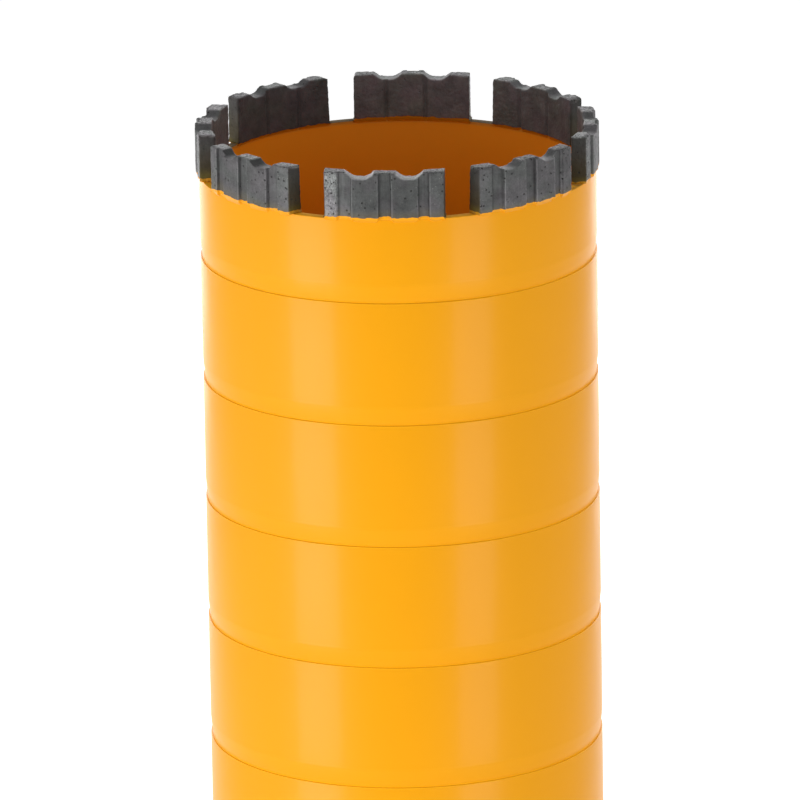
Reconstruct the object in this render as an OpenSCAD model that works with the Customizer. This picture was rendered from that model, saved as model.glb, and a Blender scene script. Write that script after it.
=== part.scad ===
// Diamond core bit: a ringed steel barrel with eight segments on its rim, a welded back plate
// and a threaded hub. It stands on the end of the hub, with the crown up.
// The front is the -Y side, and the origin is the middle of the hub's end face.

/* [Barrel] */
// Outside diameter of the barrel
barrel_d = 80.4; // [79:0.1:81]
// Thickness of the barrel's wall
wall = 2; // [1.6:0.1:2.6]
// Length of the barrel, from the back plate up to its rim
barrel_len = 355.6; // [200:0.1:450]

/* [Rings turned into the barrel] */
// Distance from the rim down to the step of the first ring
first_ring = 17.2; // [10:0.1:24]
// Distance from one ring to the next
ring_pitch = 25.4; // [20:0.1:40]
// Depth of a ring at its step
ring_depth = 0.36; // [0.2:0.02:0.6]
// Height of the slope that runs down to the step
ring_run = 3.8; // [1:0.1:6]
// Length of barrel without a ring at its lower end
ring_free = 24; // [10:1:60]

/* [Segments] */
// Outside diameter over the segments, which is the size of the hole
crown_d = 82; // [81.6:0.1:83]
// Length of a segment along the rim
seg_len = 24; // [22:0.1:26]
// Thickness of a segment across the rim
seg_thick = 3.2; // [2.8:0.1:3.6]
// Height of a segment above the rim
seg_h = 9.7; // [8:0.1:12]
// Depth of the recesses down a segment's outer face
recess_depth = 0.72; // [0.4:0.02:0.9]
// Width of a recess at its mouth
recess_w = 2.7; // [2:0.1:3.2]
// Distance from a segment's middle to each outer recess
recess_off = 8; // [7.4:0.1:8.6]
// Width of the notches across a segment's top
notch_w = 5.8; // [5.2:0.1:6.4]
// Depth of a notch
notch_depth = 1.2; // [0.8:0.1:1.3]
// Distance from a segment's middle to each notch
notch_off = 5; // [4.6:0.1:5.6]
// Turn of the first segment from the front
crown_turn = -3.8; // [-22:0.1:22]

/* [Back plate and hub] */
// Thickness of the back plate
plate_t = 10; // [8:0.5:14]
// Width of the hub's hexagon across its flats
hex_af = 41.3; // [40:0.1:46]
// Length of the hexagon
hex_len = 30; // [24:0.5:40]
// Diameter of the hub's round collar
collar_d = 48; // [47:0.5:56]
// Height of the collar
collar_h = 10; // [8:0.5:14]
// Bore of the hub's thread, at the crests
thread_bore_d = 28.2; // [27:0.1:30]
// Length of the thread
thread_len = 32; // [20:0.5:34]
// Diameter of the water passage above the thread
water_d = 20; // [10:0.5:24]

/* [Hidden] */
$fn = 96;

segments = 8;
// Degrees that each brazed segment sits off its even place
seat_error = [0, -0.5, -0.8, -1.4, -1.4, -0.9, -0.6, -0.3];
// Side to which each segment's two inner grooves lie
groove_side = [1, 1, 1, 1, 1, -1, 1, 1];

barrel_r = barrel_d / 2;
bore_r = barrel_r - wall;
crown_r = crown_d / 2;
core_r = crown_r - seg_thick;

plate_z = hex_len + collar_h;
barrel_z = plate_z + plate_t;
rim_z = barrel_z + barrel_len;
rings = floor((barrel_len - first_ring - ring_free) / ring_pitch) + 1;

// The weld fills a V, half of it cut from the barrel and half from the plate
weld_leg = 1.4;
weld_crown = 0.5;
fillet_leg = 5;
spigot_h = 4;
spigot_gap = 0.2;
edge = 1;

recess_slope = 0.25;
notch_flank = 38;
notch_fillet = 2.6;
groove_off = [5.35, -2.65];
groove_r = 0.5;
groove_depth = 0.35;

hex_chamfer = 2;
mouth_chamfer = 2.2;
over = 1;

paint = [0.97, 0.65, 0.10];
steel = [0.60, 0.61, 0.62];
grit = [0.42, 0.42, 0.41];

function seat(i) = crown_turn + 360 / segments * i + seat_error[i];

// Outline of one ring, from its step up to the end of its slope
function ring_points(z) = [[barrel_r, z], [barrel_r - ring_depth, z], [barrel_r, z + ring_run]];

module barrel() {
    ring_outline = [for (k = [rings - 1:-1:0]) each ring_points(rim_z - first_ring - k * ring_pitch)];
    color(paint)
        rotate_extrude()
            polygon(concat([[bore_r, rim_z], [bore_r, barrel_z], [barrel_r - weld_leg, barrel_z],
                            [barrel_r, barrel_z + weld_leg]], ring_outline, [[barrel_r, rim_z]]));
}

module back_plate() {
    spigot_r = bore_r - spigot_gap;
    color(paint)
        rotate_extrude()
            polygon([[water_d / 2, plate_z], [barrel_r - edge, plate_z], [barrel_r, plate_z + edge],
                     [barrel_r, barrel_z - weld_leg], [barrel_r - weld_leg, barrel_z], [spigot_r, barrel_z],
                     [spigot_r, barrel_z + spigot_h - edge], [spigot_r - edge, barrel_z + spigot_h],
                     [water_d / 2, barrel_z + spigot_h]]);
}

// Bead in the V between the barrel and the plate, with its crown standing proud
module barrel_weld() {
    half = weld_leg;
    crown = [for (a = [-75:15:75]) [barrel_r + weld_crown * cos(a), barrel_z + half * sin(a)]];
    color(paint)
        rotate_extrude()
            polygon(concat([[barrel_r - weld_leg, barrel_z], [barrel_r, barrel_z - half]], crown,
                           [[barrel_r, barrel_z + half]]));
}

module hub() {
    hex_r = hex_af / 2 / cos(30);
    thread_r = thread_bore_d / 2;
    color(steel)
        difference() {
            union() {
                intersection() {
                    cylinder(r = hex_r, h = hex_len + over, $fn = 6);
                    union() {
                        cylinder(r1 = hex_r - hex_chamfer, r2 = hex_r, h = hex_chamfer * tan(30));
                        translate([0, 0, hex_chamfer * tan(30)])
                            cylinder(r = hex_r + over, h = hex_len + over);
                    }
                }
                translate([0, 0, hex_len])
                    cylinder(d = collar_d, h = collar_h);
            }
            translate([0, 0, -over])
                cylinder(r = thread_r, h = thread_len + over);
            cylinder(r1 = thread_r + mouth_chamfer, r2 = thread_r, h = mouth_chamfer);
            cylinder(d = water_d, h = plate_z + over);
        }
}

// Fillet bead round the collar, under the plate
module hub_weld() {
    collar_r = collar_d / 2;
    color(paint)
        rotate_extrude()
            polygon([[collar_r, plate_z - fillet_leg], [collar_r + fillet_leg * 0.62, plate_z - fillet_leg * 0.62],
                     [collar_r + fillet_leg, plate_z], [collar_r, plate_z]]);
}

// Right half of a notch is an arc from the floor to the flank, and the left half mirrors it
function notch_arc() =
    let (yc = notch_fillet - notch_depth,
         xc = notch_w / 2 + (yc * cos(notch_flank) - notch_fillet) / sin(notch_flank))
    [for (a = [-90:notch_flank / 4:notch_flank - 90]) [xc + notch_fillet * cos(a), yc + notch_fillet * sin(a)]];

module notch() {
    right = concat(notch_arc(), [[notch_w / 2, 0], [notch_w / 2, over]]);
    left = [for (k = [len(right) - 1:-1:0]) [-right[k][0], right[k][1]]];
    rotate([90, 0, 0])
        linear_extrude(height = crown_r + over)
            polygon(concat(right, left));
}

// Space of one recess outside the arc of its floor
module recess() {
    floor_r = crown_r - recess_depth;
    difference() {
        translate([0, 0, -over])
            linear_extrude(height = seg_h + 2 * over)
                polygon([[-recess_w / 2, -crown_r - over], [recess_w / 2, -crown_r - over],
                         [recess_w / 2, -crown_r], [recess_w / 2 - recess_slope, -floor_r],
                         [recess_w / 2 - recess_slope, 0], [recess_slope - recess_w / 2, 0],
                         [recess_slope - recess_w / 2, -floor_r], [-recess_w / 2, -crown_r]]);
        translate([0, 0, -2 * over])
            cylinder(r = floor_r, h = seg_h + 4 * over);
    }
}

// One segment in its place on the front of the rim
module segment_blank(side) {
    difference() {
        intersection() {
            cylinder(r = crown_r, h = seg_h);
            translate([-seg_len / 2, -crown_r - over, 0])
                cube([seg_len, crown_r, seg_h]);
        }
        translate([0, 0, -over])
            cylinder(r = core_r, h = seg_h + 2 * over);
        for (t = [-1, 0, 1])
            rotate([0, 0, asin(t * recess_off / crown_r)])
                recess();
        for (t = [-1, 1])
            translate([t * notch_off, 0, seg_h])
                notch();
        for (t = groove_off * side)
            translate([t, groove_r - groove_depth - sqrt(core_r * core_r - t * t), -over])
                cylinder(r = groove_r, h = seg_h + 2 * over);
    }
}

module segment(i) {
    color(grit)
        rotate([0, 0, seat(i)])
            translate([0, 0, rim_z])
                segment_blank(groove_side[i]);
}

barrel();
back_plate();
barrel_weld();
hub();
hub_weld();
for (i = [0:segments - 1])
    segment(i);
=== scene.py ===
"""Looks of the diamond core bit: a ringed, painted barrel with eight sintered segments on its rim."""

import math
from typing import NamedTuple

import bmesh
import bpy
import numpy as np
from mathutils import Euler, Matrix, Vector, noise


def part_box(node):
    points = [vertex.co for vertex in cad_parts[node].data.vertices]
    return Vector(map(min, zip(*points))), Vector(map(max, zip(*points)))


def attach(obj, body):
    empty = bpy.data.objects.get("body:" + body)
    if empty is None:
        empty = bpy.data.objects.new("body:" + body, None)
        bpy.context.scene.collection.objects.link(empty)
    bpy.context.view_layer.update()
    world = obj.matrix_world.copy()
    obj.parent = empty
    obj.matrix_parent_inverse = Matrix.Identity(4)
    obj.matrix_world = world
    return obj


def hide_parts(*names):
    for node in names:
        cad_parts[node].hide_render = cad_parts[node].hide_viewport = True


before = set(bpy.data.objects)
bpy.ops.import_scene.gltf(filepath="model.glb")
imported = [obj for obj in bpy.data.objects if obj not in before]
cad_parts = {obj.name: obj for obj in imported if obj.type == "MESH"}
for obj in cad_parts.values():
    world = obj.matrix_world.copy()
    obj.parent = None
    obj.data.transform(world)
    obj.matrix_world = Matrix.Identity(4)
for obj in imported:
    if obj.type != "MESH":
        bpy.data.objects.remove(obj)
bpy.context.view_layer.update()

MM = 0.001
TURN = 2 * math.pi

# Heights and radii of the CAD model, in metres
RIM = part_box("barrel")[1].z
BARREL_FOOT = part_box("barrel")[0].z
PLATE_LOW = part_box("back_plate")[0].z
HEX_LENGTH = 30.0 * MM
BARREL_R = 40.2 * MM
BORE_R = 38.2 * MM
CROWN_R = 41.0 * MM
CORE_R = 37.8 * MM
MOUTH_R = 16.3 * MM
SEG_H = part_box("segment_1")[1].z - RIM
SEG_HALF = 12.0 * MM

# Rings turned into the barrel: distance from the rim to the first, pitch, depth, slope and number
FIRST_RING = 17.37 * MM
RING_PITCH = 25.4 * MM
RING_DEPTH = 0.36 * MM
RING_RUN = 3.8 * MM
RINGS = 13


# Shader maths

class Val:
    """A number in a material, so that a sum on it can be written as plain maths."""

    def __init__(self, look, socket):
        self.look = look
        self.socket = socket

    def maths(self, operation, *values):
        return self.look.number("ShaderNodeMath", {"operation": operation}, dict(enumerate(values)))

    def __add__(self, other):
        return self.maths("ADD", self, other)

    def __radd__(self, other):
        return self.maths("ADD", other, self)

    def __sub__(self, other):
        return self.maths("SUBTRACT", self, other)

    def __rsub__(self, other):
        return self.maths("SUBTRACT", other, self)

    def __mul__(self, other):
        return self.maths("MULTIPLY", self, other)

    def __rmul__(self, other):
        return self.maths("MULTIPLY", other, self)

    def root(self):
        return self.maths("SQRT", self)

    def size(self):
        return self.maths("ABSOLUTE", self)

    def most(self, other):
        return self.maths("MAXIMUM", self, other)

    def wave(self):
        return self.maths("SINE", self)

    def part_of(self, step):
        """What is left over after whole steps, from 0 up to the step."""
        return self.maths("FLOORED_MODULO", self, step)

    def ramp(self, low, high):
        """0 at low and 1 at high, with soft ends."""
        return self.look.number("ShaderNodeMapRange", {"interpolation_type": "SMOOTHSTEP"},
                                {"Value": self, "From Min": low, "From Max": high})


class Look:
    """A material, floor or world, and the one way in which its nodes are made."""

    def __init__(self, tree, output):
        self.tree = tree
        tree.nodes.clear()
        self.output = tree.nodes.new(output)

    def feed(self, made, name, value):
        """Gives a node's input a number, a colour or what another node puts out."""
        if isinstance(value, Val):
            value = value.socket
        if isinstance(value, bpy.types.NodeSocket):
            self.tree.links.new(value, made.inputs[name])
        else:
            made.inputs[name].default_value = value

    def node(self, kind, settings=None, values=None):
        made = self.tree.nodes.new(kind)
        for name, setting in (settings or {}).items():
            setattr(made, name, setting)
        for name, value in (values or {}).items():
            self.feed(made, name, value)
        return made

    def number(self, kind, settings=None, values=None, output=0):
        return Val(self, self.node(kind, settings, values).outputs[output])

    def numbers(self, place):
        """The three numbers of a place."""
        split = self.node("ShaderNodeSeparateXYZ", None, {0: place})
        return [Val(self, split.outputs[k]) for k in range(3)]

    def kept(self, attribute):
        """Three numbers for each point, kept on the mesh."""
        return self.node("ShaderNodeAttribute", {"attribute_name": attribute}).outputs["Vector"]

    def grain(self, place, scale, detail=2.0, rough=0.5):
        """Cloudy noise from 0 to 1."""
        return self.number("ShaderNodeTexNoise", None,
                           {"Vector": place, "Scale": scale, "Detail": detail, "Roughness": rough})

    def dots(self, place, scale, small, large):
        """Scattered dots, 1 out to the small part of a cell and 0 past the large part."""
        away = self.number("ShaderNodeTexVoronoi", None, {"Vector": place, "Scale": scale}, "Distance")
        return 1 - away.ramp(small, large)

    def mix(self, factor, first, second, blend="MIX"):
        """Colour between two colours."""
        made = self.node("ShaderNodeMix", {"data_type": "RGBA", "blend_type": blend}, {0: factor})
        for index, colour in ((6, first), (7, second)):
            self.feed(made, index, (*colour, 1) if isinstance(colour, tuple) else colour)
        return made.outputs[2]

    def tinted(self, factor, colour, tint):
        """Colour times a tint, as far as the factor says."""
        return self.mix(factor, colour, self.mix(1.0, colour, tint, "MULTIPLY"))

    def stretch(self, place, scale):
        """Place with each direction drawn out by its own scale."""
        return self.node("ShaderNodeMapping", None, {"Vector": place, "Scale": scale}).outputs[0]

    def bump(self, height, depth):
        return self.node("ShaderNodeBump", None,
                         {"Height": height, "Strength": 1.0, "Distance": depth}).outputs[0]

    def wear(self, shader):
        self.tree.links.new(shader.outputs[0], self.output.inputs["Surface"])

    def wear_principled(self, values):
        self.wear(self.node("ShaderNodeBsdfPrincipled", None, values))


def material(name):
    made = bpy.data.materials.new(name)
    made.use_nodes = True
    return made, Look(made.node_tree, "ShaderNodeOutputMaterial")


def object_place(look):
    """Object coordinates: the place, and its three numbers."""
    place = look.node("ShaderNodeTexCoord").outputs["Object"]
    return place, look.numbers(place)


# Finishes

ORANGE = (0.90, 0.372, 0.002)
ORANGE_DEEP = (0.82, 0.318, 0.0015)
ORANGE_GROOVE_PAINTED_LIGHT = (1.0, 0.52, 0.010)
ORANGE_INSIDE_PAINTED_SHADE = (0.84, 0.230, 0.008)
ORANGE_INSIDE_PALE_PAINTED_SHADE = (0.81, 0.268, 0.008)
ORANGE_MOUTH_PAINTED_LIGHT = (0.95, 0.292, 0.012)
ORANGE_FOOT_PAINTED_SHADE = (0.80, 0.322, 0.0018)
ORANGE_END = (0.50, 0.22, 0.006)
ORANGE_INNER_FOOT_PAINTED_SHADE = (0.50, 0.165, 0.004)
BURNT_EDGE = (0.15, 0.11, 0.05)
RIM_ORANGE_PAINTED_LIGHT = ((1.0, 0.46, 0.02), (0.76, 0.34, 0.02))
RIM_FLUX = ((0.27, 0.20, 0.11), (0.12, 0.085, 0.05))

GRIT_DARK = (0.010, 0.010, 0.010)
GRIT_LIGHT = (0.41, 0.411, 0.412)
GRIT_FLECK = (0.42, 0.415, 0.39)
GRIT_PIT = (0.018, 0.017, 0.016)
GRIT_HUES = ((0.975, 1.01, 0.985), (1.03, 0.985, 1.02))
INNER_HUES = ((1.06, 0.97, 1.0), (0.99, 0.99, 0.93))
END_HUE = (1.12, 0.97, 0.70)
END_SHADE = (0.036, 0.025, 0.005)
FLUX_OUTER = (0.13, 0.10, 0.012)
FLUX_INNER = (0.22, 0.075, 0.006)

STEEL_TONES = ((0.40, 0.395, 0.385), (0.52, 0.515, 0.50))
STEEL_DRAWN = (0.27, 0.26, 0.245)
STEEL_SMUDGE = (0.25, 0.225, 0.19)
STEEL_NICK = (0.16, 0.15, 0.14)
STEEL_BORE = (0.20, 0.185, 0.16)


def paint_finish():
    """Satin yellow-orange enamel, with painted shade inside the bore, painted light near the bore's mouth and
    painted light in the ring grooves.
    """
    made, look = material("orange_enamel")
    place, (x, y, z) = object_place(look)
    radius = (x * x + y * y).root()

    cloud = look.grain(place, 22.0, 3.0)
    speck = look.grain(place, 900.0, 2.0)
    drag = look.grain(look.stretch(place, (60.0, 60.0, 4.0)), 1.0, 2.0)
    colour = look.mix((cloud * 0.7 + drag * 0.3).ramp(0.35, 0.75) * 0.16, ORANGE, ORANGE_DEEP)

    # The step of a ring lies 1 mm above each whole pitch here
    above = (z - (RIM - FIRST_RING - 1 * MM)).part_of(RING_PITCH)
    outside = radius.ramp(BORE_R + 1.2 * MM, BORE_R + 1.4 * MM)
    outside = outside * z.ramp(BARREL_FOOT + 14 * MM, BARREL_FOOT + 20 * MM)
    groove = (1 - (above - 1.08 * MM).size().ramp(0.1 * MM, 0.26 * MM)) * outside
    # Paler, yellower enamel along each ring step: a painted light that offsets the shade in the groove.
    colour = look.mix(groove * (0.5 + 0.5 * look.grain(place, 150.0)), colour, ORANGE_GROOVE_PAINTED_LIGHT)

    # Inside the bore the enamel is darker and redder than outside: painted shade.
    inside = 1 - radius.ramp(BORE_R + 0.1 * MM, BORE_R + 0.4 * MM)
    inside = inside * z.ramp(BARREL_FOOT, BARREL_FOOT + 1 * MM)
    wall = look.mix(look.grain(place, 38.0, 2.0).ramp(0.35, 0.65), ORANGE_INSIDE_PAINTED_SHADE, ORANGE_INSIDE_PALE_PAINTED_SHADE)
    # Lighter towards the top of the bore: painted light falling in at its mouth.
    wall = look.mix(z.ramp(RIM - 26 * MM, RIM - 3 * MM) * 0.9, wall, ORANGE_MOUTH_PAINTED_LIGHT)
    wall = look.mix(z.ramp(RIM - 1.0 * MM, RIM - 0.1 * MM) * 0.5, wall, BURNT_EDGE)
    colour = look.mix(inside * 0.88, colour, wall)

    peel = look.grain(place, 420.0, 1.0)
    look.wear_principled({
        "Base Color": colour,
        "Roughness": 0.33 + 0.08 * cloud,
        "Coat Weight": 0.08,
        "Coat Roughness": 0.16,
        "Specular IOR Level": 0.11,
        "Normal": look.bump(peel * 0.7 + cloud * 6.0 + speck * 0.12, 0.02 * MM),
    })
    return made


def rim_finish():
    """Dull top of the rim, with enamel and burnt brazing flux over the steel. The enamel is lighter here than
    on the barrel's side, as painted light on the upward face.
    """
    made, look = material("brazed_rim")
    place, (x, y, _) = object_place(look)
    cloud = look.grain(place, 160.0, 3.0)
    patch = look.grain(place, 420.0, 3.0, 0.65)
    bare_and_painted_light = (y * 16 + x * 6 + cloud * 0.8 + patch * 0.5).ramp(0.42, 0.85)
    # Lighter enamel on the rim's top: painted light.
    colour = look.mix(patch.ramp(0.3, 0.75), *RIM_ORANGE_PAINTED_LIGHT)
    colour = look.mix(bare_and_painted_light, colour, look.mix(patch, *RIM_FLUX))
    look.wear_principled({
        "Base Color": colour,
        "Roughness": 0.75 + 0.2 * patch,
        "Specular IOR Level": 0.12,
        "Normal": look.bump(patch * 0.8 + cloud * 1.5, 0.1 * MM),
    })
    return made


def grit_finish():
    """Sintered metal full of grit and pits, with enamel and flux lapping up its foot."""
    made, look = material("sintered_metal")
    place = look.kept("segment_place")
    up = look.numbers(place)[2]
    tone, inner, end = look.numbers(look.kept("segment_zone"))
    rough, pitted, lap = look.numbers(look.kept("segment_marks"))

    cloud = look.grain(place, 330.0, 4.0, 0.6)
    fine = look.grain(place, 5200.0, 2.0, 0.65)
    coarse = look.grain(place, 2100.0, 2.0, 0.6)
    streak = look.grain(look.stretch(place, (3000.0, 3000.0, 110.0)), 1.0, 2.0)
    holes = look.dots(place, 950.0, 0.13, 0.24)
    holes = holes * (look.grain(place, 520.0, 1.0) + 0.3 * pitted * pitted).ramp(0.55, 0.61)
    specks = look.dots(place, 2300.0, 0.18, 0.36)
    specks = specks * (look.grain(place, 800.0, 1.0) * rough).ramp(0.3, 0.5)
    flecks = look.dots(place, 2100.0, 0.12, 0.24)
    flecks = flecks * look.grain(place, 900.0, 1.0).ramp(0.52, 0.64) * pitted
    pits = holes.most(specks)

    # The sintered metal, with the painted light and shade that its tone carries
    speckle = (coarse - 0.5) * (0.35 + 2.0 * rough) + (fine - 0.5) * (0.35 + 1.2 * rough)
    stripes = (streak - 0.5) * (1 - rough).most(0) * (1 - pitted).most(0.15) * (1 - inner) * 0.5
    foot = 0.22 * (1 - up.ramp(0.6 * MM, 3.2 * MM)) * (1 - inner).most(0)
    shade = (0.83 + 1.25 * (cloud - 0.5) + foot + speckle + stripes) * tone
    colour = look.mix(shade * 0.25, GRIT_DARK, GRIT_LIGHT)
    hue = look.grain(place, 240.0, 1.0)
    colour = look.mix(1.0, colour, look.mix(hue.ramp(0.35, 0.65), *GRIT_HUES), "MULTIPLY")
    within = look.mix(look.grain(place, 130.0, 1.0).ramp(0.35, 0.65), *INNER_HUES)
    colour = look.tinted(inner, colour, within)
    low = 1 - up.ramp(0, 9 * MM)
    colour = look.tinted(end * (0.25 + 0.75 * low), colour, END_HUE)
    colour = look.mix(end * low * 0.75, colour, END_SHADE)
    colour = look.mix(flecks * (0.4 + 0.35 * rough), colour, GRIT_FLECK)
    colour = look.mix(pits * 0.9 * (1 - inner * 0.8), colour, GRIT_PIT)

    # Enamel up to a ragged line, and burnt flux above it
    line = lap * 0.7 + 0.9 * MM * (look.grain(place, 600.0, 3.0) - 0.5) - 0.03 * MM
    painted = 1 - up.ramp(line, line + 0.12 * MM)
    flux = 1 - up.ramp(line, line + 1.3 * MM + 3 * (lap - 0.6 * MM).most(0))
    flux = flux * (0.25 + 0.25 * end - 0.17 * inner)
    flux = flux * (lap * 2500).ramp(1.0, 1.15).most(end * 0.8)
    colour = look.mix(flux, colour, look.mix(inner, FLUX_OUTER, FLUX_INNER))
    # Darker enamel at the very foot of the outer faces: painted shade under the segment.
    enamel_here = look.mix(up.ramp(-0.3 * MM, 0.4 * MM), ORANGE_FOOT_PAINTED_SHADE, (0.90, 0.368, 0.002))
    enamel_here = look.mix(end, enamel_here, ORANGE_END)
    # Darker enamel on the inner foot: painted shade, as inside the bore.
    colour = look.mix(painted, colour, look.mix(inner, enamel_here, ORANGE_INNER_FOOT_PAINTED_SHADE))

    height = fine * 0.5 + coarse * 0.8 - pits * 1.6 + flecks * 0.4 + streak * 0.3 * (1 - inner)
    look.wear_principled({
        "Base Color": colour,
        "Metallic": 0.3 * (1 - painted),
        "Roughness": 0.6 - 0.12 * flecks - 0.25 * painted,
        "Specular IOR Level": 0.22,
        "Normal": look.bump(height * (1 - 0.85 * painted), 0.06 * MM),
    })
    return made


def steel_finish():
    """Hexagon bar with drawn flats, and a turned collar, thread and end face."""
    made, look = material("machined_steel")
    place, (x, y, z) = object_place(look)
    radius = (x * x + y * y).root()
    end_face = 1 - z.ramp(0.02 * MM, 0.08 * MM)
    flats = z.ramp(0.1 * MM, 0.4 * MM) * (1 - z.ramp(HEX_LENGTH - 0.2 * MM, HEX_LENGTH - 0.05 * MM))
    flats = flats * radius.ramp(17.5 * MM, 18.5 * MM)
    turned = 1 - flats.most(end_face)
    sway = look.grain(place, 30.0)
    rings = ((radius * 14000.0) + sway * 2).wave()
    bands = ((z * 12000.0) + sway * 2).wave()
    drawn = look.grain(look.stretch(place, (2600.0, 2600.0, 26.0)), 1.0, 3.0, 0.6)
    cloud = look.grain(place, 38.0, 4.0, 0.6)
    smudge = look.grain(place, 95.0, 3.0)
    nick = look.dots(place, 300.0, 0.05, 0.11) * look.grain(place, 120.0, 1.0).ramp(0.55, 0.62)

    colour = look.mix(cloud.ramp(0.3, 0.7), *STEEL_TONES)
    colour = look.mix((drawn - 0.5).size().ramp(0.06, 0.2) * flats * 0.35, colour, STEEL_DRAWN)
    colour = look.mix(smudge.ramp(0.58, 0.76) * 0.35, colour, STEEL_SMUDGE)
    colour = look.mix(nick * 0.6, colour, STEEL_NICK)
    inside = 1 - radius.ramp(MOUTH_R - 0.1 * MM, MOUTH_R + 0.3 * MM)
    colour = look.mix(inside * 0.45, colour, STEEL_BORE)
    height = rings * end_face * 0.35 + bands * turned * 0.3 + drawn * flats * 0.9 - nick * 1.5 + cloud * 0.8
    look.wear_principled({
        "Base Color": colour,
        "Metallic": 0.92,
        "Roughness": 0.28 + 0.14 * cloud + 0.18 * smudge.ramp(0.55, 0.75),
        "Normal": look.bump(height, 0.02 * MM),
    })
    return made


enamel = paint_finish()
rim = rim_finish()
grit = grit_finish()
steel = steel_finish()


# Tools for the pieces

def object_of(name, content):
    """A mesh, lamp or camera made an object of the scene."""
    made = bpy.data.objects.new(name, content)
    bpy.context.scene.collection.objects.link(made)
    return made


def placed(name, mesh, look, slot, *nodes):
    """A mesh in its place made a piece, which stands for the CAD nodes."""
    mesh.materials.clear()
    mesh.materials.append(look)
    piece = object_of(name, mesh)
    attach(piece, "root")
    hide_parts(*nodes)
    return piece


def mesh_of(name, bm):
    mesh = bpy.data.meshes.new(name)
    bm.to_mesh(mesh)
    bm.free()
    return mesh


def finished(name, bm, look, slot, *nodes):
    """A bmesh in metres made a piece."""
    return placed(name, mesh_of(name, bm), look, slot, *nodes)


def helper(name, bm):
    """A bmesh made an object that is only there for modifiers."""
    return object_of(name, mesh_of(name, bm))


def as_modified(made):
    """The mesh that an object's modifiers give."""
    return bpy.data.meshes.new_from_object(made.evaluated_get(bpy.context.evaluated_depsgraph_get()))


def lathe(outline, steps, rounding=()):
    """Closed outline of (radius, height) in metres, turned round the axis. rounding: (corners, radius)."""
    bm = bmesh.new()
    verts = [bm.verts.new((r, 0, z)) for r, z in outline]
    for pair in zip(verts, verts[1:] + verts[:1]):
        bm.edges.new(pair)
    for corners, size in rounding:
        bmesh.ops.bevel(bm, geom=[verts[k] for k in corners], offset=size, offset_type="OFFSET", segments=3,
                        profile=0.5, affect="VERTICES", material=-1)
    bmesh.ops.spin(bm, geom=bm.verts[:] + bm.edges[:], cent=(0, 0, 0), axis=(0, 0, 1), dvec=(0, 0, 0),
                   angle=TURN, steps=steps, use_merge=True, use_duplicate=False)
    bmesh.ops.remove_doubles(bm, verts=bm.verts, dist=1e-7)
    bmesh.ops.recalc_face_normals(bm, faces=bm.faces)
    for face in bm.faces:
        face.smooth = True
    return bm


def sharpen(bm, degrees):
    """Edges that bend by more than this stay crisp."""
    for edge in bm.edges:
        edge.smooth = edge.calc_face_angle(0) < math.radians(degrees)


# Barrel, back plate and welds

def barrel():
    weld = 1.4 * MM
    outline = [(BORE_R, RIM), (BORE_R, BARREL_FOOT), (BARREL_R - weld, BARREL_FOOT),
               (BARREL_R, BARREL_FOOT + weld)]
    crests = []
    for k in reversed(range(RINGS)):
        z = RIM - FIRST_RING - k * RING_PITCH
        crests += [len(outline), len(outline) + 4]
        floor_r = BARREL_R - RING_DEPTH
        outline += [(BARREL_R, z), (floor_r, z), (floor_r - 0.03 * MM, z + 0.06 * MM),
                    (floor_r + 0.02 * MM, z + 0.2 * MM), (BARREL_R, z + RING_RUN)]
    outline += [(BARREL_R, RIM)]
    bm = lathe(outline, 288, [(crests, 0.08 * MM), ([0, len(outline) - 1], 0.12 * MM)])
    sharpen(bm, 35)
    piece = finished("ringed_barrel", bm, enamel, "barrel_paint", "barrel")
    piece.data.materials.append(rim)
    for face in piece.data.polygons:
        face.material_index = int(face.center.z > RIM - 0.07 * MM)


def back_plate():
    corners = [(10, 40), (39.2, 40), (40.2, 41), (40.2, 48.6), (38.8, 50), (38, 50), (38, 53), (37, 54),
               (10, 54)]
    bm = lathe([(r * MM, z * MM) for r, z in corners], 192, [([0, 1, 2, 6, 7, 8], 0.3 * MM)])
    sharpen(bm, 35)
    finished("round_back_plate", bm, enamel, "barrel_paint", "back_plate")


def bead(name, face, root, pool, lift, steps, seed, node):
    """A weld bead laid in overlapping pools. face: (radius, height) points across it, in mm."""
    bm = lathe([(r * MM, z * MM) for r, z in face + root], steps)
    middle = Vector((np.mean([r for r, z in face]), np.mean([z for r, z in face]))) * MM
    start = Vector(face[0]) * MM
    reach = (middle - start).length
    along = (middle - start).normalized()
    count = round(TURN * middle.x / pool)
    bm.normal_update()
    moves = []
    for vert in bm.verts:
        r = math.hypot(vert.co.x, vert.co.y)
        across = (Vector((r, vert.co.z)) - middle).dot(along) / reach
        turn = math.atan2(vert.co.y, vert.co.x) / TURN * count
        sway = noise.noise(Vector((turn * 0.35, 0, seed)))
        phase = (turn + 0.55 * across * across + 0.2 * sway) % 1.0
        body = max(0.0, 1 - across * across)
        lump = noise.noise(vert.co * 250 + Vector((seed, 0, 0)))
        rise = lift * body ** 0.5 * (phase ** 0.7 - 0.55) + 0.8 * lift * body * lump
        moves.append(vert.normal * rise)
    for vert, move in zip(bm.verts, moves):
        vert.co += move
    sharpen(bm, 60)
    finished(name, bm, enamel, "barrel_paint", node)


def welds():
    joint = BARREL_FOOT / MM
    arc = [math.radians(a) for a in range(-80, 81, 16)]
    face = [(40.2 + 0.5 * math.cos(a), joint + 1.55 * math.sin(a)) for a in arc]
    root = [(39.4, joint + 1.4), (38.9, joint), (39.4, joint - 1.4)]
    bead("rippled_barrel_weld", face, root, pool=2.0 * MM, lift=0.22 * MM, steps=900, seed=3.0,
         node="barrel_weld")

    under, leg, bulge = PLATE_LOW / MM, 5, 0.85 / math.sqrt(2)
    steps = [k / 8 for k in range(9)]
    out = [bulge * math.sin(math.pi * k) for k in steps]
    face = [(24 + leg * k + b, under - leg + leg * k - b) for k, b in zip(steps, out)]
    bead("rippled_hub_weld", face, [(24, under)], pool=2.8 * MM, lift=0.36 * MM, steps=640, seed=9.0,
         node="hub_weld")


# Hub

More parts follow.
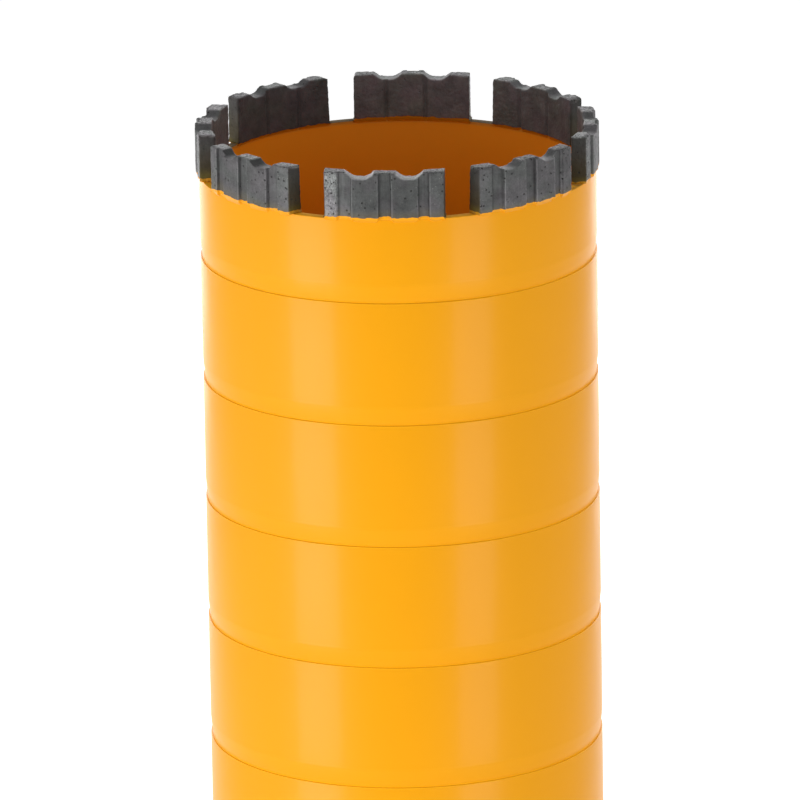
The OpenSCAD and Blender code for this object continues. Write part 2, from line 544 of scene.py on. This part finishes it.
def thread_tap(low, high):
    """A long screw with a coarse sixty-degree thread, which cuts the hub's thread."""
    crest, root, pitch, steps = 15.875 * MM, 13.9 * MM, 3.629 * MM, 96
    tooth = ((root, 0.116 * MM), (root, 1.01 * MM), (crest, 2.15 * MM), (crest, 2.604 * MM))
    bm = bmesh.new()
    verts = []
    z = low - 2 * pitch
    while z < high + pitch:
        verts += [bm.verts.new((r, 0, z + rise)) for r, rise in tooth]
        z += pitch
    for pair in zip(verts, verts[1:]):
        bm.edges.new(pair)
    bmesh.ops.spin(bm, geom=bm.verts[:] + bm.edges[:], cent=(0, 0, 0), axis=(0, 0, 1),
                   dvec=(0, 0, pitch / steps), angle=TURN, steps=steps, use_merge=False, use_duplicate=False)
    bmesh.ops.remove_doubles(bm, verts=bm.verts, dist=1e-6)
    for height, way in ((low, -1), (high, 1)):
        bmesh.ops.bisect_plane(bm, geom=bm.verts[:] + bm.edges[:] + bm.faces[:], plane_co=(0, 0, height),
                               plane_no=(0, 0, way), clear_outer=True)
        open_edges = [e for e in bm.edges
                      if e.is_boundary and all(abs(v.co.z - height) < 1e-7 for v in e.verts)]
        bmesh.ops.holes_fill(bm, edges=open_edges, sides=0)
    bmesh.ops.recalc_face_normals(bm, faces=bm.faces)
    return bm


def flats_cutter(across_corners, low, high):
    """Everything outside the hexagon, over its length."""
    bm = bmesh.new()
    at = Matrix.Translation((0, 0, low)) @ Matrix.Rotation(math.radians(30), 4, "Z")
    for radius in (across_corners, 2 * across_corners):
        bmesh.ops.create_circle(bm, segments=6, radius=radius, matrix=at)
    ring = bmesh.ops.bridge_loops(bm, edges=bm.edges[:])["faces"]
    grown = bmesh.ops.extrude_face_region(bm, geom=ring)["geom"]
    raised = [g for g in grown if isinstance(g, bmesh.types.BMVert)]
    bmesh.ops.translate(bm, verts=raised, vec=(0, 0, high - low))
    bmesh.ops.recalc_face_normals(bm, faces=bm.faces)
    return bm


def hub():
    corner = 41.3 / 2 / math.cos(math.radians(30))
    outline = [(10, 40), (24, 40), (24, 1.244), (corner - 2, 0), (16.3, 0), (14.1, 2.2), (14.1, 32), (10, 32)]
    body = helper("hub_body", lathe([(r * MM, z * MM) for r, z in outline], 192, [([4, 5], 0.2 * MM)]))
    flats = helper("hub_flats", flats_cutter(corner * MM, -1 * MM, HEX_LENGTH))
    tap = helper("hub_tap", thread_tap(-1 * MM, HEX_LENGTH + 1 * MM))
    for tool in (flats, tap):
        cut = body.modifiers.new("cut", "BOOLEAN")
        cut.object = tool
        cut.operation = "DIFFERENCE"
        cut.solver = "EXACT"
    mesh = as_modified(body)
    for tool in (body, flats, tap):
        bpy.data.objects.remove(tool)
    bm = bmesh.new()
    bm.from_mesh(mesh)
    bmesh.ops.remove_doubles(bm, verts=bm.verts, dist=1e-7)
    for face in bm.faces:
        face.smooth = True
    sharpen(bm, 25)
    finished("threaded_hub", bm, steel, "hub_steel", "hub")


barrel()
back_plate()
welds()
hub()


# Segments. Their lengths are in mm, and left and right are as seen from outside.

class Marks(NamedTuple):
    """How one segment differs from the others."""
    seat: float              # its place on the rim in the CAD model, in degrees
    worn: tuple              # roundness of its left end, right end and outer top edge
    added: tuple             # length added at its left and right end
    # Lightness of the ends and the inner face, below: painted light and shade.
    bare_and_painted_light: tuple              # how light its left end, right end and inner face are
    laps: tuple              # height of the enamel on its left and right outer foot, inner foot and ends
    # The lightness of the tops is painted light, the two flanks lit differently.
    tops: tuple              # how light its lands, notch floors, left flanks and right flanks are
    # Rib and recess lightness: partly the metal's own tone, partly painted light and shade.
    tones: tuple             # how light its ribs and recesses are, from the left
    turned: float = 0.0      # a small turn on its seat, in degrees
    inset: tuple = (0, 0)    # how far its outer and inner face sit in
    groove_side: int = 1     # side of its inner grooves


SEGMENTS = [
    Marks(seat=-3.8, worn=(0.15, 0.20, 0.60), added=(0.15, -0.12), bare_and_painted_light=(0.50, 0.50, 1.25),
          laps=(0.75, 0.85, 0.1, 0.2), tops=(2.1, 3.6, 3.2, 4.1),
          tones=(2.10, 1.08, 0.76, 0.76, 0.73, 0.88, 0.83)),
    Marks(seat=40.7, worn=(0.90, 0.50, 0.60), added=(0.3, 0.3), bare_and_painted_light=(0.36, 0.50, 1.25),
          laps=(0.45, 0.75, 0.1, 0.8), tops=(1.9, 2.6, 1.7, 0.95),
          tones=(0.97, 0.85, 0.96, 0.80, 0.97, 0.81, 0.97)),
    Marks(seat=85.4, worn=(0.50, 0.20, 0.45), added=(0.0, 0.4), inset=(0.2, 0.0), bare_and_painted_light=(0.42, 0.50, 1.25),
          laps=(0.90, 0.30, 0.1, 0.6), tops=(2.7, 2.7, 1.2, 1.1),
          tones=(1.35, 0.85, 1.30, 0.80, 1.10, 0.85, 1.30)),
    Marks(seat=129.8, turned=0.15, worn=(1.15, 0.90, 0.35), added=(-0.2, 0.4), bare_and_painted_light=(0.27, 0.50, 1.20),
          laps=(0.45, 0.45, 0.15, 0.1), tops=(2.2, 2.6, 1.3, 1.1),
          tones=(1.10, 0.90, 1.00, 0.90, 1.00, 0.85, 1.20)),
    Marks(seat=174.8, turned=0.2, worn=(0.20, 0.80, 0.45), added=(-0.15, 0.0), bare_and_painted_light=(0.50, 0.50, 1.33),
          laps=(0.45, 0.45, 0.75, 0.0), tops=(1.85, 2.7, 1.8, 1.8),
          tones=(1.20, 0.85, 1.00, 0.90, 1.00, 0.85, 1.10)),
    Marks(seat=220.3, worn=(1.10, 0.65, 0.45), added=(0.45, -0.2), groove_side=-1, bare_and_painted_light=(0.50, 0.62, 0.72),
          laps=(0.45, 0.45, 0.1, 0.1), tops=(2.0, 1.5, 0.7, 1.3),
          tones=(1.10, 0.90, 1.00, 0.85, 1.00, 0.90, 1.20)),
    Marks(seat=265.6, worn=(0.25, 0.60, 0.20), added=(0.9, -0.2), inset=(0.12, 0.27), bare_and_painted_light=(0.50, 0.36, 1.25),
          laps=(0.30, 0.70, 0.9, 1.0), tops=(2.7, 1.7, 0.85, 1.4),
          tones=(1.60, 0.85, 1.00, 0.80, 1.20, 0.95, 2.10)),
    Marks(seat=310.9, turned=-0.35, worn=(0.85, 0.75, 0.40), added=(-0.15, 0.2), bare_and_painted_light=(0.50, 0.42, 1.25),
          laps=(1.25, 0.60, 0.1, 0.8), tops=(3.0, 1.7, 0.4, 1.9),
          tones=(1.14, 0.97, 0.94, 0.91, 0.93, 0.95, 1.16)),
]
# Where the outermost recess edges lie on the first segment, and where they lie on the others
FIRST_EDGES = (-12.5, -9.67, -7.0, 7.0, 8.93, 12.5)
OTHER_EDGES = (-12.5, -9.3, -7.0, 7.0, 9.3, 12.5)
# A notch from its middle: distance, and height against the land
NOTCH = ((0.0, 0.47, 0.90, 1.32, 1.71, 2.07, 2.90), (-1.2, -1.2, -1.164, -1.058, -0.885, -0.649, 0.0))
NOTCH_AT = 5.0
RECESSES = (-8.05, 0.0, 8.05)
RECESS_EDGE = 1.28
OUTER_RIB_AT = 9.2
GROOVES = (5.35, -2.65)

OUTER, INNER = CROWN_R / MM, CORE_R / MM
HALF, HIGH = SEG_HALF / MM, SEG_H / MM
TUBE_OUTER, TUBE_INNER = BARREL_R / MM, BORE_R / MM


def clipped(values, low=0, high=1):
    return np.clip(values, low, high)


def blend(factor, first, second):
    return first + (second - first) * factor


def peak(distance, width):
    """A soft line, 1 in its middle."""
    return np.exp(-(distance / width) ** 2)


def noise_at(points, scale, seed):
    return np.array([noise.noise(Vector(p) * scale + seed) for p in points])


def cells_at(points, scale, seed):
    """Distance to the nearest of many scattered points."""
    return np.array([noise.voronoi(Vector(p) * scale + seed)[0][0] for p in points])


def round_off(a, b, size):
    """Two depths under two faces, brought in to an arc where both are less than size."""
    da, db = size - a, size - b
    away = np.hypot(da, db)
    near = (a < size) & (b < size) & (away > size)
    pull = np.where(near, size / np.maximum(away, 1e-9), 1)
    return np.where(near, size - da * pull, a), np.where(near, size - db * pull, b)


def fine_copy(name, seat):
    """The CAD segment in mm on the front of the rim, remade on a fine even grid with soft edges."""
    bm = bmesh.new()
    bm.from_mesh(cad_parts[name].data)
    bmesh.ops.remove_doubles(bm, verts=bm.verts, dist=1e-6)
    bmesh.ops.transform(bm, verts=bm.verts, matrix=Matrix.Scale(1 / MM, 4) @ Matrix.Rotation(-seat, 4, "Z")
                        @ Matrix.Translation((0, 0, -RIM)))
    blank = helper(name + "_blank", bm)
    remesh = blank.modifiers.new("even_grid", "REMESH")
    remesh.mode = "VOXEL"
    remesh.voxel_size = 0.16
    smooth = blank.modifiers.new("soften", "SMOOTH")
    smooth.factor = 0.5
    smooth.iterations = 1
    mesh = as_modified(blank)
    bpy.data.objects.remove(blank)
    return mesh


class Body:
    """The points of one segment on the front of the rim, and what part of it each of them lies on."""

    def __init__(self, index):
        self.index = index
        self.marks = SEGMENTS[index]
        self.name = f"segment_{index + 1}"
        self.seed = Vector((0, 0, 40.0 * index))
        self.mesh = fine_copy(self.name, math.radians(self.marks.seat))
        self.co = self.read("co")

    def read(self, what):
        values = np.empty(len(self.mesh.vertices) * 3)
        self.mesh.vertices.foreach_get(what, values)
        return values.reshape(-1, 3)

    def by_side(self, left, right):
        return np.where(self.t < 0, left, right)

    def wear_edges(self):
        """Rounds its edges, makes it longer or shorter and sets its faces in."""
        marks = self.marks
        t, y, z = self.co.T.copy()
        self.t, r = t, np.hypot(t, y)
        slow = noise_at(self.co, 0.9, self.seed)
        end, side = HALF - np.abs(t), np.sign(t)
        self.half = HALF + self.by_side(*marks.added) * np.abs(t) / HALF
        self.floor = np.interp(np.abs(np.abs(t) - NOTCH_AT), *NOTCH)
        sink, out, inn = HIGH + self.floor - z, OUTER - r, r - INNER
        worn = self.by_side(*marks.worn[:2])
        brow = blend(clipped(-self.floor / 0.6), marks.worn[2], 0.2)
        end, sink = round_off(end, sink, worn * (1 + 0.5 * slow))
        end, out = round_off(end, out, 0.2 + 0.15 * slow)
        end, inn = round_off(end, inn, 0.1 + worn * (0.3 + 0.06 * z) + 0.15 * slow)
        inn, sink = round_off(inn, sink, 0.25 + 0.15 * slow)
        out, sink = round_off(out, sink, brow * (1 + 0.5 * slow))
        self.end, self.out = end, out
        self.r = np.where(out < inn, OUTER - out, INNER + inn)
        self.t = side * (self.half - end)
        self.z = HIGH + self.floor - sink

        deep = clipped((self.r - INNER) / (OUTER - INNER))
        radius = self.r - marks.inset[0] * deep - marks.inset[1] * (1 - deep)
        shown = np.interp(self.t, OTHER_EDGES, FIRST_EDGES) if self.index == 0 else self.t
        self.co = np.stack([shown, -np.sqrt(np.maximum(radius * radius - shown * shown, 1)), self.z], 1)
        self.mesh.vertices.foreach_set("co", self.co.ravel())
        self.mesh.update()

    def find_faces(self):
        """How far each point lies on the top, the inner face, the outer face and the ends."""
        self.normal = self.read("normal")
        sideways, backward, upward = self.normal.T
        self.upward = clipped(upward * 1.6 - 0.2) * (self.z > 6)
        self.inward = clipped(backward) ** 0.5
        self.outward = clipped(-backward * 1.5) * (1 - self.upward)
        self.ended = clipped(np.abs(sideways) * 2 - 0.9) * (self.end < 1.5)
        self.unnotched = clipped(1 + self.floor * 5)
        self.land = self.upward * self.unnotched

    def find_ribs(self):
        """How far each point lies in a recess, at a rib's edge and on an outermost rib."""
        self.arc = np.arcsin(self.t / self.r) * OUTER
        self.away = np.min([np.abs(self.arc - middle) for middle in RECESSES], 0)
        self.recess = clipped((RECESS_EDGE - self.away) / 0.2) * self.outward
        self.corner = peak(self.away - RECESS_EDGE + 0.17, 0.16) * self.outward
        self.crest = peak(self.away - RECESS_EDGE - 0.14, 0.10) * self.outward
        self.outer_rib = clipped((np.abs(self.arc) - OUTER_RIB_AT) / 0.3) * self.outward

    def pit(self):
        """Makes its faces uneven and pitted, with a swell of braze at the foot of its ends."""
        grain = noise_at(self.co, 3.1, self.seed)
        lump = noise_at(self.co, 1.3, self.seed)
        hole = clipped(1 - cells_at(self.co, 1.1, self.seed) / 0.26) * (lump > -0.05) * (1 - self.recess)
        move = 0.035 * grain + 0.045 * lump - 0.2 * hole * (self.outward + self.land)
        move *= clipped(self.z / 0.6)
        move += clipped(1 - self.z / 0.8) ** 2 * clipped(0.28 + 0.4 * grain + 0.3 * lump) * self.ended
        self.co = self.co + self.normal * move[:, None]

    def braze(self):
        """Draws the foot in to the tube's faces, where it stands out past them."""
        outer_overhang, inner_overhang = OUTER - TUBE_OUTER, TUBE_INNER - INNER
        self.co[:, 2] = np.maximum(self.co[:, 2], 0)
        under = clipped(1 - self.z / 0.08)
        lip = clipped((OUTER + 0.02 - self.r) / (outer_overhang + 0.02), 0, 1.4) * (self.r > TUBE_OUTER - 0.6)
        ledge = clipped((self.r - INNER) / inner_overhang, 0, 1.5) * (self.r < TUBE_INNER + 0.4)
        taper = clipped(np.minimum((self.away - RECESS_EDGE) / 0.5, self.end / 0.8), 0.1, 1)
        self.co[:, 2] -= under * (0.55 * lip ** 1.1 * taper + 0.5 * ledge)
        past = clipped((self.r - TUBE_OUTER) / outer_overhang)
        drawn_in = 1 - 0.42 * clipped(1 - self.z / 0.8) ** 1.4 * taper * past / self.r
        self.co[:, :2] *= drawn_in[:, None]

    def tone(self):
        """How light each point is, with painted light and shade in it."""
        marks, sideways = self.marks, self.normal[:, 0]
        # Rib and recess lightness, partly the metal's own tone and partly painted light and shade.
        knots = [middle + side * RECESS_EDGE + blur
                 for middle in RECESSES for side in (-1, 1) for blur in (-0.08, 0.08)]
        face = np.interp(self.arc, knots, np.repeat(marks.tones, 2)[1:-1])

        # Lands, notch floors and flanks lightened as painted light, the two flanks by how light falls on each
        # side.
        lands, floors, left_flanks, right_flanks = marks.tops
        flank = clipped(np.abs(sideways) / 0.45)
        notch = blend(flank, floors, np.where(sideways > 0, left_flanks, right_flanks))
        behind_brow = clipped((self.out - 1.5 * marks.worn[2]) / 0.5, 0.1, 1)
        land = np.maximum(blend(behind_brow, 1, lands), 0.9 * face)
        top = blend(self.unnotched, notch, land)

        # Painted shade on the ends and painted light on the inner face.
        left_end, right_end, inner = marks.bare_and_painted_light
        # Painted shade in the inner grooves.
        furrow = sum(peak(self.t - marks.groove_side * at, 0.28) for at in GROOVES) * self.inward
        tone = blend(self.outward, 1, face) * blend(self.upward, 1, top) * blend(self.inward, 1, inner)
        # Painted shade in the corners of each recess, and a painted highlight along each rib's edge.
        tone = tone * (1 - 0.5 * self.corner) * (1 + 0.85 * self.crest) * (1 - 0.2 * furrow)
        return tone * blend(self.ended, 1, self.by_side(left_end, right_end))

    def keep_marks(self):
        """Keeps its own coordinates, and what the finish needs, on the mesh."""
        marks, smooth_face = self.marks, self.outward * (1 - self.recess)
        gritty_left = self.outer_rib * (marks.tones[0] > 1.3) * (self.t < 0) * (0.35 + 0.05 * self.z)
        rough = clipped(self.land + gritty_left + 0.12 * smooth_face)
        pitted = clipped(self.land + self.outer_rib + 0.5 * smooth_face)
        left, right, inner, ends = marks.laps
        lap = blend((self.t / self.half + 1) / 2, left, right) + 0.12 * self.recess
        lap = blend(self.ended, blend(self.inward, lap, inner), ends) * MM
        own = np.stack([self.t, -self.co[:, 1] - 39, self.co[:, 2]], 1) * MM + (0, 0.05 * self.index, 0)
        for key, values in (("segment_place", own),
                            ("segment_zone", np.stack([self.tone(), self.inward, self.ended], 1)),
                            ("segment_marks", np.stack([rough, pitted, lap], 1))):
            layer = self.mesh.attributes.new(key, "FLOAT_VECTOR", "POINT")
            layer.data.foreach_set("vector", values.astype(np.float32).ravel())

    def piece(self):
        seat = math.radians(self.marks.seat) + math.radians(self.marks.turned)
        self.mesh.vertices.foreach_set("co", self.co.ravel())
        self.mesh.transform(Matrix.Translation((0, 0, RIM)) @ Matrix.Rotation(seat, 4, "Z")
                            @ Matrix.Scale(MM, 4))
        self.mesh.shade_smooth()
        self.mesh.update()
        return placed(f"worn_{self.name}", self.mesh, grit, "sintered_grit", self.name)


for index in range(len(SEGMENTS)):
    body = Body(index)
    body.wear_edges()
    body.find_faces()
    body.find_ribs()
    body.pit()
    body.braze()
    body.keep_marks()
    body.piece()


# Camera, floor and lamps

def camera():
    made = bpy.data.cameras.new("camera")
    made.sensor_width = 36.0
    made.lens = 489.771
    made.clip_start = 0.05
    made.clip_end = 500.0
    eye = object_of("camera", made)
    tilt = Euler((math.radians(90 - 16.3916), 0, 0)).to_matrix().to_4x4()
    eye.matrix_world = (Matrix.Translation((-0.000307, -2.125847, 0.981868)) @ tilt
                        @ Matrix.Rotation(math.radians(-0.9532), 4, "Z"))
    bpy.context.scene.camera = eye


def seen_directly(look):
    """1 for what the camera, a gloss or a clear piece sees, and 0 for soft light."""
    path = look.node("ShaderNodeLightPath")
    camera_ray, glossy_ray, clear_ray = (
        Val(look, path.outputs[f"Is {kind} Ray"]) for kind in ("Camera", "Glossy", "Transmission"))
    return camera_ray.most(glossy_ray).most(clear_ray)


def floor():
    bm = bmesh.new()
    bmesh.ops.create_circle(bm, cap_ends=True, radius=90.0, segments=96)
    made, look = material("pale_floor")
    plain = look.node("ShaderNodeBsdfDiffuse", None, {"Color": (0.86, 0.86, 0.86, 1)})
    glow = look.node("ShaderNodeEmission", None, {"Strength": seen_directly(look) * 0.6})
    look.wear(look.node("ShaderNodeAddShader", None, {0: plain.outputs[0], 1: glow.outputs[0]}))
    piece = object_of("floor", mesh_of("floor", bm))
    piece.data.materials.append(made)


def soft_box(name, degrees, distance, high, width, power):
    """Upright lamp on the ground at an angle from the front, positive to the right, facing the barrel."""
    made = bpy.data.lights.new(name, "AREA")
    made.shape = "RECTANGLE"
    made.size = width
    made.size_y = high
    made.energy = power
    box = object_of(name, made)
    angle = math.radians(degrees)
    at = Vector((math.sin(angle) * distance, -math.cos(angle) * distance, high / 2))
    aim = Vector((0, 0, high / 2)) - at
    box.matrix_world = Matrix.Translation(at) @ aim.to_track_quat("-Z", "Y").to_matrix().to_4x4()
    box.visible_camera = False


def sky():
    world = bpy.data.worlds.new("white_room")
    bpy.context.scene.world = world
    world.use_nodes = True
    look = Look(world.node_tree, "ShaderNodeOutputWorld")
    level = 0.48 + 0.53 * seen_directly(look)
    look.wear(look.node("ShaderNodeBackground", None, {"Color": (1, 1, 1, 1), "Strength": level}))


camera()
floor()
sky()
soft_box("left_key", degrees=-51, distance=0.85, high=0.42, width=0.40, power=3.9)
soft_box("right_fill", degrees=41, distance=0.85, high=0.42, width=0.34, power=2.1)
soft_box("left_side", degrees=-85, distance=1.0, high=0.9, width=0.6, power=1.0)
soft_box("right_side", degrees=85, distance=1.0, high=0.9, width=0.6, power=0.6)
soft_box("back_light", degrees=180, distance=1.3, high=0.9, width=1.8, power=12.0)

bpy.context.scene.view_settings.view_transform = "Standard"
